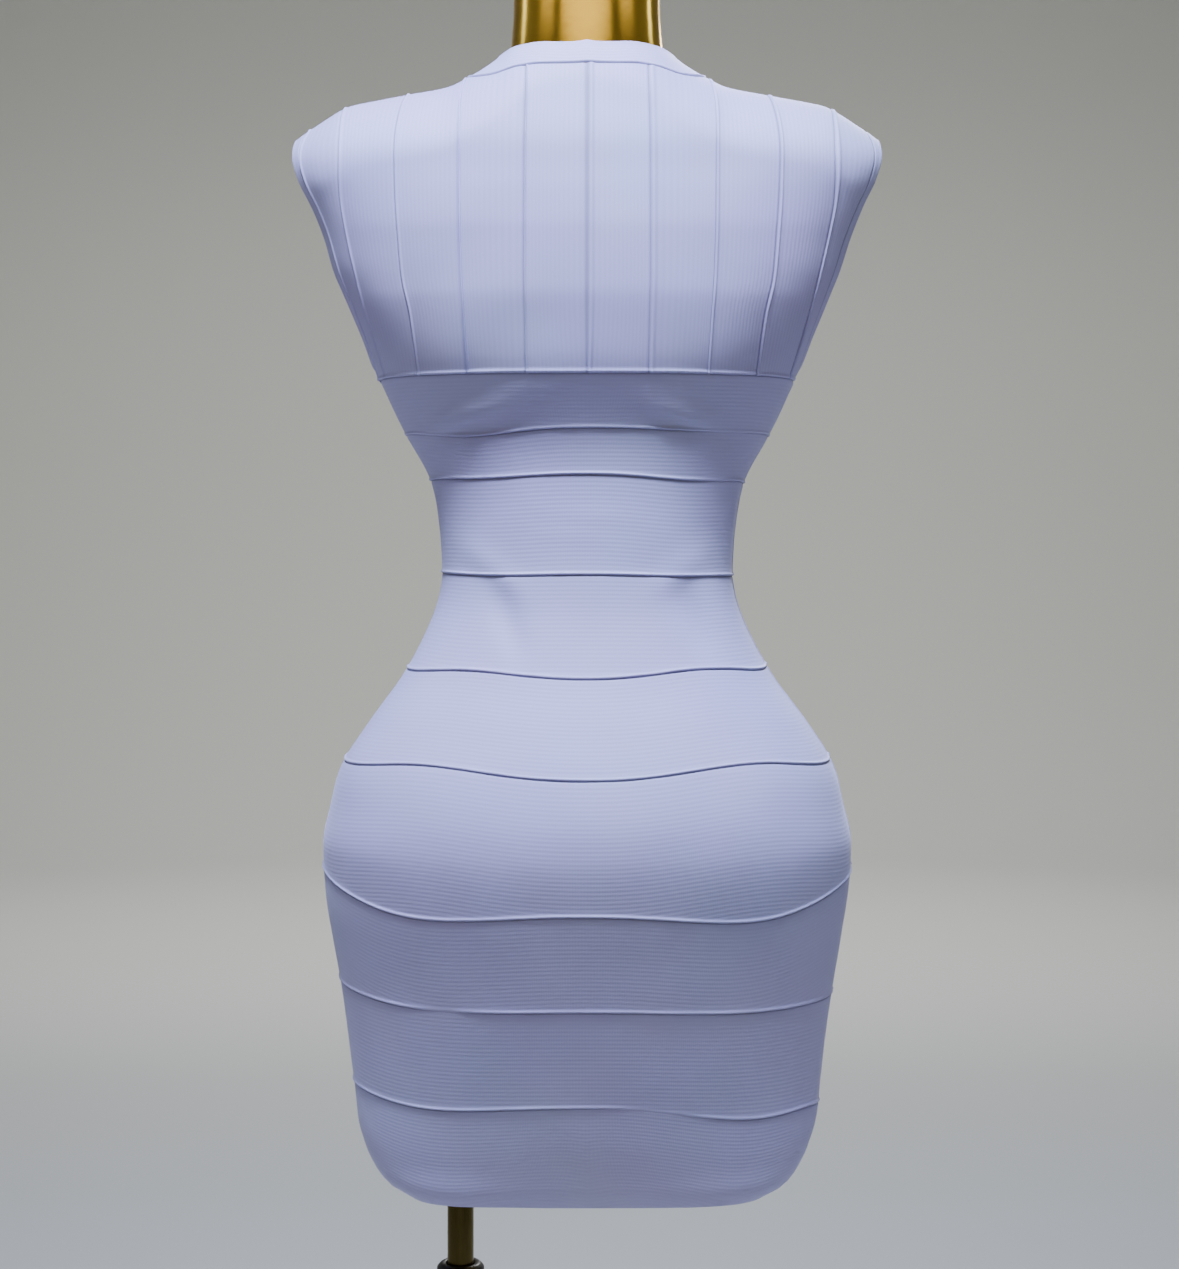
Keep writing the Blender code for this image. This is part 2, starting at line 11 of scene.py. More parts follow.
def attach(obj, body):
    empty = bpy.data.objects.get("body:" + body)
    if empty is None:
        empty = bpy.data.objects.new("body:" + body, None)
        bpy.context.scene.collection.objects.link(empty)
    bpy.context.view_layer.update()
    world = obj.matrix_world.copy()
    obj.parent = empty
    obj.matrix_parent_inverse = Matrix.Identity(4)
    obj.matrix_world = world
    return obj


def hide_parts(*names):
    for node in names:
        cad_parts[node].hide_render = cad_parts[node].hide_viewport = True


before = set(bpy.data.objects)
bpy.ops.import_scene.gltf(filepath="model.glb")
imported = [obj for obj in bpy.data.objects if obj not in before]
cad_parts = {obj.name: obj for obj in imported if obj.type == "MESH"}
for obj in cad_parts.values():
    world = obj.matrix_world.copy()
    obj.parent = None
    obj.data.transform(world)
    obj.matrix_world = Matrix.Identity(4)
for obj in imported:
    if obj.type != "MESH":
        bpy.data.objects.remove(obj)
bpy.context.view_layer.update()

bl_info = {
    "name": "Bandage Dress on Form",
    "version": (1, 0, 0),
    "blender": (4, 5, 0),
    "location": "3D View > Sidebar > Dress",
    "description": "Builds a bandage-knit bodycon dress, its dress form and a plain studio",
    "category": "Object",
}

MM = 0.001
STAND, FORM = "stand", "form"

# ---- the body that the cloth lies on, in millimetres; heights are measured from the waist ----
WAIST_HEIGHT = 1050.0
WALL = 1.5
SHOULDER_ROUND = 60.0
FORM_INSET = 5.0

# height, half width, depth behind the axis, depth before it, squareness
SECTIONS = (
    (-438, 122, 60, 66, 4.5),
    (-429, 142, 66.5, 74.5, 3.5),
    (-414, 154.5, 72, 81, 2.8),
    (-400, 160.5, 77, 86.5, 2.55),
    (-388, 164, 81, 90, 2.4),
    (-360, 167, 88.5, 94, 2.3),
    (-293, 176, 107, 98, 2.25),
    (-260, 181.5, 116, 99.5, 2.25),
    (-226, 187, 125, 101, 2.25),
    (-190, 189, 131, 102, 2.25),
    (-165, 184, 129, 103, 2.25),
    (-135, 176, 119, 103, 2.25),
    (-105, 157, 104, 102, 2.25),
    (-69, 131, 85, 97, 2.2),
    (-30, 111, 71, 88, 2.2),
    (0, 104, 66.5, 84, 2.2),
    (35, 106, 65.5, 86, 2.2),
    (69, 113, 66, 93, 2.25),
    (101, 130, 70, 107, 2.35),
    (139, 148, 86, 122, 2.6),
    (150, 153.5, 89, 125, 2.7),
    (170, 161.8, 92, 127, 2.9),
    (195, 173.2, 95, 124, 3.0),
    (214, 181.9, 95, 119, 3.0),
    (239, 190, 95, 110, 3.0),
    (262, 199.5, 92.6, 101, 3.0),
    (278, 207.7, 90, 95, 3.0),
    (302, 216.5, 86, 86, 3.0),
    (330, 219, 77, 76, 3.0),
    (355, 219, 68, 66, 3.0),
    (373, 219, 62, 62, 3.0),
)
# distance from the middle, height of the shoulder's top
CREST = (
    (0, 402),
    (30, 396),
    (50, 384),
    (62, 372.5),
    (72, 365),
    (86, 356.5),
    (99, 350),
    (127, 344.5),
    (158, 339),
    (171, 336),
    (182, 330),
    (193, 323),
    (205, 315.4),
    (211, 310),
)
# half width, depth behind, depth before, squareness, seen from above
NECK_EDGE = (62, 52, 66, 2.3)
NECK_SEAM = (86, 66, 80, 2.6)
# top, bottom, depth, seen from the side
ARMHOLE_EDGE = (311, 150, 39)
ARMHOLE_SEAM = (319, 139, 49)
ARMHOLE_FULLNESS = 0.8
# height, then each lengthwise seam's distance from the middle
STRIP_SEAMS = (
    (139, 0, 42, 82, 117, 142),
    (180, 0, 42.5, 84.5, 122, 153.5),
    (203, 0, 43, 86, 127, 159.5),
    (231, 0, 43, 87, 129.5, 166),
    (261, 0, 43, 87.5, 131.5, 171),
    (300, 0, 43, 88, 132.5, 172),
    (331, 0, 42.5, 88.5, 130, 173.5),
    (357, 0, 42.5, 86, 126, 173.5),
)
STRIP_COUNT = len(STRIP_SEAMS[0]) - 1
# crosswise seams: height at the middle of the back, the wearer's left side, right side, front,
# and how far the seam dips between the middle of the back and the left and the right side
BAND_SEAMS = (
    (139, 139, 139, 139, 0, 0),
    (102.5, 100, 100, 100, 5, 1.5),
    (70.5, 67.5, 66, 68, 2, 3),
    (1, 2, -0.5, 0, 1, 1),
    (-70, -66, -65, -67, -4, -5),
    (-136, -130, -130, -131, -7, -8),
    (-226, -205, -208, -213, 8, 9.5),
    (-293, -286, -298, -292, 3, 3),
    (-362, -360, -378, -366, 5, 9),
    (-438, -438, -438, -438, 0, 0),
)
FRONT_DIP = 0.4
# soft ridges (and troughs): side, start across and height, end across and height,
# half breadth, rise
FOLDS = (
    (1, 96, 108, 40, 122, 7, 2.0),
    (1, -90, 107, -34, 121, 7, 2.0),
    (1, 84, 22, 44, -14, 9, 1.6),
    (1, -82, 18, -46, -12, 9, 1.5),
    (-1, 88, 110, 42, 120, 8, 1.8),
    (-1, -92, 108, -38, 119, 8, 1.8),
    (-1, 80, 20, 40, -10, 9, 1.4),
    (-1, -84, 22, -44, -12, 9, 1.5),
    (1, 109, 103, 60, 121, 3.6, 1.3),
    (1, 104, 97, 58, 112, 4.2, -1.1),
    (1, -82, 105, -46, 119, 3.2, 1.2),
    (1, -86, 100, -50, 112, 3.8, -0.9),
    (1, 66, 128, 20, 131, 5, 0.8),
    (1, -72, 127, -30, 130, 4.5, 0.6),
    (1, 63, -6, 45, -58, 9, -2.8),
    (1, -62, -4, -85, -56, 10, -2.7),
    (1, 24, 44, -30, 40, 5, 0.35),
    (1, 34, 30, -12, 27, 4.5, 0.3),
    (-1, 104, 102, 64, 118, 4, 1.1),
    (-1, 100, 96, 60, 109, 4.4, -0.9),
    (-1, -94, 104, -52, 117, 3.6, 1.0),
    (-1, 60, -8, 46, -52, 10, -1.3),
    (-1, -54, -4, -66, -50, 11, -1.2),
    (-1, 20, 38, -26, 42, 5, 0.4),
)
# where a crosswise seam is pulled nearly flat: side, across, height, half breadth, share lost
FADES = (
    (1, 108, 96, 26, 0.7),
    (1, -98, 100, 28, 0.85),
    (1, -92, 66, 12, 0.6),
    (1, 98, -293, 20, 0.85),
    (1, -46, -366, 42, 0.95),
    (-1, 96, 99, 24, 0.7),
    (-1, -84, 100, 20, 0.6),
    (-1, 58, -292, 26, 0.75),
    (-1, -40, -364, 36, 0.7),
)


# ---- reading the tables ----
def limit_rise(rise, step):
    """Slope kept between flat and three times the step, so that no curve overshoots its rows."""
    if rise * step <= 0:
        return 0.0
    return math.copysign(min(abs(rise), 3 * abs(step)), step)


def read_table(table, key):
    """Row of the table at a key between its rows, on a smooth curve through them."""
    if key <= table[0][0]:
        return table[0][1:]
    if key >= table[-1][0]:
        return table[-1][1:]
    index = next(i for i in range(len(table) - 1) if key <= table[i + 1][0])
    low, high = table[index], table[index + 1]
    before = table[max(index - 1, 0)]
    after = table[min(index + 2, len(table) - 1)]
    span = high[0] - low[0]
    t = (key - low[0]) / span
    values = []
    for a, b, c, d in zip(before[1:], low[1:], high[1:], after[1:]):
        rise_low = limit_rise((c - a) / (high[0] - before[0]) * span, c - b)
        rise_high = limit_rise((d - b) / (after[0] - low[0]) * span, c - b)
        values.append(
            b * (1 + 2 * t) * (1 - t) ** 2
            + c * t * t * (3 - 2 * t)
            + rise_low * t * (1 - t) ** 2
            - rise_high * t * t * (1 - t)
        )
    return values


@functools.lru_cache(maxsize=None)
def section(height):
    return tuple(read_table(SECTIONS, height))


@functools.lru_cache(maxsize=None)
def crest_height(reach):
    return read_table(CREST, abs(reach))[0]


def halve(low, high, is_beyond):
    """Place between low and high where a test stops being true."""
    for _ in range(36):
        middle = (low + high) / 2
        if is_beyond(middle):
            low = middle
        else:
            high = middle
    return (low + high) / 2


def crest_reach(height):
    return halve(0.0, CREST[-1][0], lambda x: crest_height(x) > height)


def closing(x, height, inset=0.0):
    """Share of the full depth that is left near the top of the shoulder."""
    t = (crest_height(x) - inset - height) / SHOULDER_ROUND
    if t >= 1:
        return 1.0
    return math.sqrt(max(0.0, 1 - (1 - t) ** 2))


def surface_depth(x, height, side, inset=0.0):
    """Distance of the surface from the shoulders' plane; side is 1 behind and -1 before."""
    width, back, front, square = section(height)
    depth = (back if side > 0 else front) - inset
    ratio = min(1.0, abs(x) / (width - inset))
    return depth * (1 - ratio**square) ** (1 / square) * closing(x, height, inset)


def surface_point(x, height, side):
    return Vector((x, side * surface_depth(x, height, side), height))


def angle_of(x, height):
    """Angle round the section, from the middle of the back or front to the side."""
    width, _, _, square = section(height)
    return math.asin(min(1.0, (abs(x) / width) ** (square / 2)))


def across_of(angle, height):
    width, _, _, square = section(height)
    return width * math.sin(angle) ** (2 / square)


def height_at(x, depth, side):
    return halve(240.0, crest_height(x), lambda z: surface_depth(x, z, side) > depth)


def across_at(depth, height, side):
    far = min(section(height)[0], crest_reach(height))
    return halve(60.0, far, lambda x: surface_depth(x, height, side) > depth)


def level(x, y, height):
    """How far outside the body a point is, as a number that grows outwards."""
    width, back, front, square = section(height)
    depth = back if y >= 0 else front
    t = (crest_height(x) - height) / SHOULDER_ROUND
    if t < 0.5:
        ratio = min(0.999, abs(x) / width)
        full = depth * (1 - ratio**square) ** (1 / square)
        return (y / full) ** 2 + (1 - t) ** 2
    share = closing(x, height)
    return (abs(x) / width) ** square + (abs(y) / (depth * share)) ** square


def outward(point):
    """Unit normal of the body's surface, from differences of its level."""
    step = 0.4
    x, y, z = point
    return Vector((
        level(x + step, y, z) - level(x - step, y, z),
        level(x, y + step, z) - level(x, y - step, z),
        level(x, y, z + step) - level(x, y, z - step),
    )).normalized()


def fold_rise(point):
    """Height of the soft ridges at a point of the cloth."""
    rise = 0.0
    for side, x_start, z_start, x_end, z_end, breadth, top in FOLDS:
        if side * point.y <= 0:
            continue
        run = Vector((x_end - x_start, z_end - z_start))
        offset = Vector((point.x - x_start, point.z - z_start))
        along = min(1.0, max(0.0, offset.dot(run) / run.length_squared))
        away = (offset - run * along).length / breadth
        if away < 3:
            rise += top * math.sin(math.pi * (0.1 + 0.8 * along)) * math.exp(-away * away)
    return rise


def seam_share(point):
    """Share of a seam's relief that is left at a point."""
    share = 1.0
    for side, across, height, breadth, lost in FADES:
        if side * point.y > 0:
            away = ((point.x - across) / breadth) ** 2 + ((point.z - height) / 14) ** 2
            share *= 1 - lost * math.exp(-away)
    return share


# ---- sewn edges: rise of the cloth by its distance from the edge in mm, for a seam 1 mm high ----
EDGE_REACH = 8.0
EDGE_STEPS = (0.0, 0.3, 0.65, 1.05, 1.5, 1.95, 2.4, 3.0, 4.0)


def rolled(distance):
    return math.exp(-(((distance - 1.5) / 0.9) ** 2)) - 0.55 * math.exp(-((distance / 0.45) ** 2))


def sunk(distance):
    return -0.6 * math.exp(-((distance / 0.9) ** 2))


def turned_in(distance):
    return 0.5 * math.exp(-(((distance - 2.0) / 1.6) ** 2)) - math.exp(-((distance / 0.6) ** 2))


def edge_relief(edges, distances):
    """Rise of the cloth from all its sewn edges, and how deep in a seam the point is."""
    relief = mark = 0.0
    for key, edge in edges.items():
        distance = distances[key]
        if distance < EDGE_REACH:
            relief += edge(distance)
            if edge is not turned_in:
                mark = max(mark, math.exp(-((distance / 0.6) ** 2)))
    return relief, mark


def shares_along(length, pitch):
    """Places along a length, close together at both ends where the edges are shaped."""
    inner = max(2, round((length - 2 * EDGE_STEPS[-1]) / pitch))
    near = [step / length for step in EDGE_STEPS[:-1]]
    first = EDGE_STEPS[-1] / length
    middle = [first + (1 - 2 * first) * i / inner for i in range(inner + 1)]
    return near + middle + [1 - share for share in reversed(near)]


# ---- making the cloth ----
def cloth_piece(name, place, size, edges, ribs_along="across", ring=False, pitch=5.0, dark=1.0):
    """Thin shell of knit through place(u, v), with shaped edges.

    size is the piece's breadth and height in mm, edges names what happens at the top, bottom,
    start and end, ribs_along says whether the knit's ribs run across or up the piece, and dark
    is how deep the shadow in its seams is.
    """
    sizes = bpy.context.scene.dress_sizes
    breadth, height = size
    us = [i / round(breadth / pitch) for i in range(round(breadth / pitch))] if ring else (
        shares_along(breadth, pitch))
    vs = shares_along(height, pitch)
    base = [[place(u, v) for u in us] for v in vs]
    rows, columns = len(vs), len(us)
    tall = [sum((base[i + 1][j] - base[i][j]).length for i in range(rows - 1)) for j in range(columns)]
    work = bmesh.new()
    uv_layer = work.loops.layers.uv.new("knit")
    seam_layer = work.verts.layers.float.new("seam")
    points = []
    rise = sizes.seam_rise / MM
    for i, v in enumerate(vs):
        line = []
        for j, u in enumerate(us):
            point = base[i][j]
            swell = rise * seam_share(point) * (1 + 0.25 * noise.noise(point * 0.05))
            lift = fold_rise(point)
            lift += (sizes.unevenness / MM) * noise.noise(point * 0.022)
            distances = {
                "top": v * tall[j], "bottom": (1 - v) * tall[j],
                "start": u * breadth, "end": (1 - u) * breadth}
            relief, mark = edge_relief(edges, distances)
            vertex = work.verts.new(in_metres(point + outward(point) * (lift + swell * relief)))
            vertex[seam_layer] = mark * dark * seam_share(point)
            line.append(vertex)
        points.append(line)
    last = columns if ring else columns - 1
    for i in range(rows - 1):
        for j in range(last):
            k = (j + 1) % columns
            face = work.faces.new((points[i][j], points[i + 1][j], points[i + 1][k], points[i][k]))
            u_low, u_high = us[j] * breadth * MM, (us[k] if k > j else 1.0) * breadth * MM
            corners = (
                (u_low, vs[i] * tall[j] * MM),
                (u_low, vs[i + 1] * tall[j] * MM),
                (u_high, vs[i + 1] * tall[k] * MM),
                (u_high, vs[i] * tall[k] * MM),
            )
            for loop, (across, down) in zip(face.loops, corners):
                loop[uv_layer].uv = (across, down) if ribs_along == "across" else (down, across)
    work.normal_update()
    if points[rows // 2][columns // 2].normal.dot(outward(base[rows // 2][columns // 2])) < 0:
        bmesh.ops.reverse_faces(work, faces=work.faces[:])
    area = sum(face.calc_area() for face in work.faces)
    mesh = bpy.data.meshes.new(name)
    work.to_mesh(mesh)
    work.free()
    piece = bpy.data.objects.new(name, mesh)
    bpy.context.scene.collection.objects.link(piece)
    wall = piece.modifiers.new("Wall", "SOLIDIFY")
    wall.thickness = sizes.cloth_wall
    wall.offset = -1
    apply_modifiers(piece)
    bpy.ops.object.shade_smooth_by_angle(angle=math.radians(60))
    piece.data.materials.append(bandage_knit())
    declare_cloth(piece, name, area, max(tall) * MM, breadth * MM)
    return piece


def declare_cloth(piece, node, area, length, breadth):
    """Ride and replace a cloth piece; the knit is cut smaller than it is worn."""
    ease = bpy.context.scene.dress_sizes.cut_ease
    cut_area = area * ease
    breadth = max(breadth, cut_area / length) * 1.002
    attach(piece, FORM)
    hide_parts(node)


def in_metres(point):
    """Place in the frame of a point in mm from the waist."""
    return Vector((point.x, point.y, point.z + WAIST_HEIGHT)) * MM


def select_only(item):
    bpy.ops.object.select_all(action="DESELECT")
    item.select_set(True)
    bpy.context.view_layer.objects.active = item


def apply_modifiers(item):
    select_only(item)
    for modifier in list(item.modifiers):
        bpy.ops.object.modifier_apply(modifier=modifier.name)


def band_seam_height(seam, hand, share, side):
    """Height of a crosswise seam where the section has this share of its full depth."""
    back, left, right, front, left_dip, right_dip = seam
    flank, dip = (left, left_dip) if hand > 0 else (right, right_dip)
    middle = back
    if side < 0:
        middle, dip = front, dip * FRONT_DIP
    hump = share**4 * (1 - share) / (0.8**4 * 0.2)
    return flank + (middle - flank) * share - dip * hump


def band(number, side, hem):
    """Half of one crosswise band, from side seam to side seam."""
    upper, lower = BAND_SEAMS[number], BAND_SEAMS[number + 1]

    def place(u, v):
        angle = math.pi * (0.5 - u)
        hand = 1 if angle >= 0 else -1
        share = math.cos(angle)
        top = band_seam_height(upper, hand, share, side)
        bottom = band_seam_height(lower, hand, share, side)
        height = top + (bottom - top) * v
        return surface_point(hand * across_of(abs(angle), height), height, side)

    steps = [place(i / 60, 0.5) for i in range(61)]
    breadth = sum((b - a).length for a, b in zip(steps, steps[1:]))
    edges = {"top": sunk, "bottom": turned_in if hem else rolled, "start": sunk, "end": rolled}
    word = "back" if side > 0 else "front"
    height = abs(upper[0] - lower[0]) * 1.03
    return cloth_piece(f"band_{number + 1}_{word}", place, (breadth, height), edges)


def loop_depth(loop, height):
    """Distance of an armhole loop from the plane of the shoulder's top."""
    top, bottom, depth = loop
    cosine = (height - (top + bottom) / 2) / ((top - bottom) / 2)
    cosine = min(1.0, max(-1.0, cosine))
    return depth * math.sqrt(1 - cosine * cosine) ** ARMHOLE_FULLNESS


def on_side(depth, height, side):
    """Point of the body's flank at a depth and a height."""
    if depth < 0.01:
        return Vector((min(section(height)[0], crest_reach(height)), 0.0, height))
    return Vector((across_at(depth, height, side), side * depth, height))


@functools.lru_cache(maxsize=None)
def seam_angle(seam, height, side):
    """Angle of a lengthwise seam at a height; the last seam is the armhole's."""
    if seam < STRIP_COUNT:
        return angle_of(read_table(STRIP_SEAMS, height)[seam], height)
    height = min(height, ARMHOLE_SEAM[0])
    depth = loop_depth(ARMHOLE_SEAM, height)
    if depth < 0.01:
        return angle_of(crest_reach(height) if height > 200 else 1e3, height)
    return angle_of(across_at(depth, height, side), height)


def neck_point(loop, angle, side):
    """Point of the neck's edge or seam, at an angle seen from above."""
    width, back, front, square = loop
    x = width * math.sin(angle) ** (2 / square)
    y = (back if side > 0 else front) * max(0.0, math.cos(angle)) ** (2 / square)
    if y < 0.01:
        return Vector((x, 0.0, crest_height(x)))
    return Vector((x, side * y, height_at(x, y, side)))


def angle_in_loop(loop, x):
    return math.asin((x / loop[0]) ** (loop[3] / 2))


@functools.lru_cache(maxsize=None)
def strip_top(number, share, side):
    """Top point of a strip at a share of its breadth, on the neck seam or on the shoulder."""
    if number < 2:
        meeting = angle_in_loop(NECK_SEAM, STRIP_SEAMS[-1][2])
        start, end = ((0.0, meeting), (meeting, math.pi / 2))[number]
        return neck_point(NECK_SEAM, start + (end - start) * share, side)
    x = 100.0
    for _ in range(24):
        height = crest_height(x)
        near = seam_angle(number, height, side)
        far = seam_angle(number + 1, height, side)
        x = across_of(near + (far - near) * share, height)
    return Vector((x, 0.0, crest_height(x)))


def strip(number, hand, side):
    """One lengthwise strip between the shoulder and the first crosswise seam."""
    bottom = BAND_SEAMS[0][0]

    def place(u, v):
        top = strip_top(number, round(u, 6), side)
        height = top.z + (bottom - top.z) * v**1.25
        near, far = seam_angle(number, top.z, side), seam_angle(number + 1, top.z, side)
        share = min(1.0, max(0.0, (angle_of(top.x, top.z) - near) / (far - near)))
        near, far = seam_angle(number, height, side), seam_angle(number + 1, height, side)
        x = across_of(near + (far - near) * share, height)
        point = Vector(top) if v == 0 else surface_point(x, height, side)
        return Vector((hand * point.x, point.y, point.z))

    rows = [place(i / 12, 0.5) for i in range(13)]
    breadth = sum((b - a).length for a, b in zip(rows, rows[1:]))
    drop = [place(0.5, i / 30) for i in range(31)]
    height = sum((b - a).length for a, b in zip(drop, drop[1:]))
    inner, outer = (sunk, rolled) if hand > 0 else (rolled, sunk)
    edges = {"top": sunk, "bottom": rolled, "start": inner, "end": outer}
    word = "back" if side > 0 else "front"
    hand_word = "left" if hand > 0 else "right"
    name = f"{word}_strip_{number + 1}_{hand_word}"
    return cloth_piece(name, place, (breadth, height), edges, ribs_along="up", pitch=4.0, dark=0.6)


def armhole(hand):
    """Ring of knit between the armhole's edge and its seam."""
    def place(u, v):
        turn = 2 * math.pi * u
        side = 1 if math.sin(turn) >= 0 else -1
        tops = [(loop[0] + loop[1]) / 2 + (loop[0] - loop[1]) / 2 * math.cos(turn)
                for loop in (ARMHOLE_EDGE, ARMHOLE_SEAM)]
        depths = [loop[2] * abs(math.sin(turn)) ** ARMHOLE_FULLNESS
                  for loop in (ARMHOLE_EDGE, ARMHOLE_SEAM)]
        height = tops[0] + (tops[1] - tops[0]) * v
        depth = depths[0] + (depths[1] - depths[0]) * v
        point = on_side(depth, height, side)
        return Vector((hand * point.x, point.y, point.z))

    rows = [place(i / 80, 0.5) for i in range(81)]
    breadth = sum((b - a).length for a, b in zip(rows, rows[1:]))
    edges = {"top": turned_in, "bottom": sunk}
    word = "left" if hand > 0 else "right"
    return cloth_piece(f"armhole_band_{word}", place, (breadth, 13.0), edges, ring=True, pitch=4.0)


def neckband():
    """Ring of knit round the neck, from its edge to the neck seam."""
    def place(u, v):
        turn = 2 * math.pi * u
        side = 1 if math.cos(turn) >= 0 else -1
        hand = 1 if math.sin(turn) >= 0 else -1
        loop = [a + (b - a) * v for a, b in zip(NECK_EDGE, NECK_SEAM)]
        angle = math.asin(min(1.0, abs(math.sin(turn))))
        point = neck_point(loop, angle, side)
        return Vector((hand * point.x, point.y, point.z))

    rows = [place(i / 80, 0.5) for i in range(81)]
    breadth = sum((b - a).length for a, b in zip(rows, rows[1:]))
    edges = {"top": turned_in, "bottom": rolled}
    return cloth_piece("neckband", place, (breadth, 23.0), edges, ring=True, pitch=4.0)


# ---- materials ----
WALE_PITCH = 0.0012      # metres between the knit's wales
SEAM_DARKNESS = 0.75     # share of the seam shadow's colour at the bottom of a seam


def linear(code):
    """Linear colour of an sRGB hex value."""
    values = [int(code[i:i + 2], 16) / 255 for i in (1, 3, 5)]
    return tuple(v / 12.92 if v <= 0.04045 else ((v + 0.055) / 1.055) ** 2.4 for v in values)


def add_node(tree, kind, settings=None, links=None):
    """A node with its settings and its inputs' links; an input's value may be a plain number."""
    node = tree.nodes.new(kind)
    for key, value in (settings or {}).items():
        setattr(node, key, value)
    for key, value in (links or {}).items():
        if isinstance(value, bpy.types.NodeSocket):
            tree.links.new(value, node.inputs[key])
        else:
            node.inputs[key].default_value = value
    return node


def new_material(name):
    """Material with an empty Principled shader, or None with the ready one if it was made before."""
    made = bpy.data.materials.get(name)
    if made:
        return made, None, None
    material = bpy.data.materials.new(name)
    material.use_nodes = True
    tree = material.node_tree
    tree.nodes.clear()
    shader = add_node(tree, "ShaderNodeBsdfPrincipled")
    add_node(tree, "ShaderNodeOutputMaterial", links={"Surface": shader.outputs[0]})
    return material, tree, shader


def math_node(tree, operation, first, second=0.0):
    """Output of a Math node between two sockets or numbers."""
    return add_node(tree, "ShaderNodeMath", {"operation": operation}, {0: first, 1: second}).outputs[0]


def bandage_knit():
    """Heavy rayon bandage knit: soft cross ribs, fine wales, a low silky sheen, painted shade in rib
    grooves and seams.
    """
    material, tree, shader = new_material("rayon_bandage_knit")
    if tree is None:
        return material
    sizes = bpy.context.scene.dress_sizes
    colours = bpy.context.scene.dress_colours
    uv = add_node(tree, "ShaderNodeUVMap", {"uv_map": "knit"})
    split = add_node(tree, "ShaderNodeSeparateXYZ", links={0: uv.outputs[0]})
    across_ribs = math_node(tree, "MULTIPLY", split.outputs[1], 2 * math.pi / sizes.rib_pitch)
    across_wales = math_node(tree, "MULTIPLY", split.outputs[0], 2 * math.pi / WALE_PITCH)
    rib = math_node(tree, "SINE", across_ribs)
    wale = math_node(tree, "SINE", across_wales)
    crown = math_node(tree, "MULTIPLY_ADD", rib, 0.5)
    crown.node.inputs[2].default_value = 0.5
    fine = math_node(tree, "MULTIPLY_ADD", wale, 0.10)
    tree.links.new(crown, fine.node.inputs[2])
    coordinates = add_node(tree, "ShaderNodeTexCoord")
    cloudy = add_node(tree, "ShaderNodeTexNoise", links={
        "Vector": coordinates.outputs["Object"], "Scale": 9.0, "Detail": 3.0})
    # painted shade: the colour darkens towards the rib grooves, following the rib wave
    shade = add_node(tree, "ShaderNodeMix", {"data_type": "RGBA"}, {
        0: crown, 6: (*colours.painted_groove_shade, 1.0), 7: (*colours.knit, 1.0)})
    drift = add_node(tree, "ShaderNodeMix", {"data_type": "RGBA", "blend_type": "SOFT_LIGHT"}, {
        0: 0.18, 6: shade.outputs[2], 7: cloudy.outputs["Color"]})
    seam = add_node(tree, "ShaderNodeAttribute", {"attribute_name": "seam"})
    share = math_node(tree, "MULTIPLY", seam.outputs["Fac"], SEAM_DARKNESS)
    shut = add_node(tree, "ShaderNodeMix", {"data_type": "RGBA"}, {
        0: share, 6: drift.outputs[2], 7: (*colours.seam_shadow, 1.0)})
    bump = add_node(tree, "ShaderNodeBump", links={
        "Height": fine, "Strength": 0.35, "Distance": 0.00014})
    tree.links.new(shut.outputs[2], shader.inputs["Base Color"])
    tree.links.new(bump.outputs[0], shader.inputs["Normal"])
    shader.inputs["Roughness"].default_value = 0.62
    shader.inputs["Specular IOR Level"].default_value = 0.35
    shader.inputs["Sheen Weight"].default_value = 0.25
    shader.inputs["Sheen Roughness"].default_value = 0.4
    shader.inputs["Sheen Tint"].default_value = (*linear("#E6E4FF"), 1.0)
    return material


def gold_lacquer():
    """Gold chrome lacquer sprayed on a moulded shell: mirror-like, with a faint orange peel."""
    material, tree, shader = new_material("gold_chrome_lacquer")
    if tree is None:
        return material
    coordinates = add_node(tree, "ShaderNodeTexCoord")
    peel = add_node(tree, "ShaderNodeTexNoise", links={
        "Vector": coordinates.outputs["Object"], "Scale": 180.0, "Detail": 1.0})
    bump = add_node(tree, "ShaderNodeBump", links={
        "Height": peel.outputs[0], "Strength": 0.05, "Distance": 0.0005})
    wear = add_node(tree, "ShaderNodeTexNoise", links={
        "Vector": coordinates.outputs["Object"], "Scale": 14.0, "Detail": 4.0})
    rough = add_node(tree, "ShaderNodeMapRange", links={
        0: wear.outputs[0], 1: 0.3, 2: 0.8, 3: 0.14, 4: 0.22})
    tree.links.new(rough.outputs[0], shader.inputs["Roughness"])
    tree.links.new(bump.outputs[0], shader.inputs["Normal"])
    shader.inputs["Base Color"].default_value = (*bpy.context.scene.dress_colours.gold, 1.0)
    shader.inputs["Metallic"].default_value = 1.0
    return material


def dark_brass():
    """Antique brass plate on drawn steel tube: dark, glossy, drawn lengthwise."""
    material, tree, shader = new_material("antique_brass_plate")
    if tree is None:
        return material
    coordinates = add_node(tree, "ShaderNodeTexCoord")
    stretch = add_node(tree, "ShaderNodeMapping", links={
        "Vector": coordinates.outputs["Object"], "Scale": (900.0, 900.0, 12.0)})
    streaks = add_node(tree, "ShaderNodeTexNoise", links={"Vector": stretch.outputs[0], "Detail": 2.0})
    rough = add_node(tree, "ShaderNodeMapRange", links={
        0: streaks.outputs[0], 1: 0.3, 2: 0.7, 3: 0.16, 4: 0.3})
    tone = add_node(tree, "ShaderNodeMix", {"data_type": "RGBA"}, {
        0: streaks.outputs[0], 6: (*linear("#62572F"), 1.0), 7: (*linear("#7C6F43"), 1.0)})
    tree.links.new(tone.outputs[2], shader.inputs["Base Color"])
    tree.links.new(rough.outputs[0], shader.inputs["Roughness"])
    shader.inputs["Metallic"].default_value = 1.0
    return material


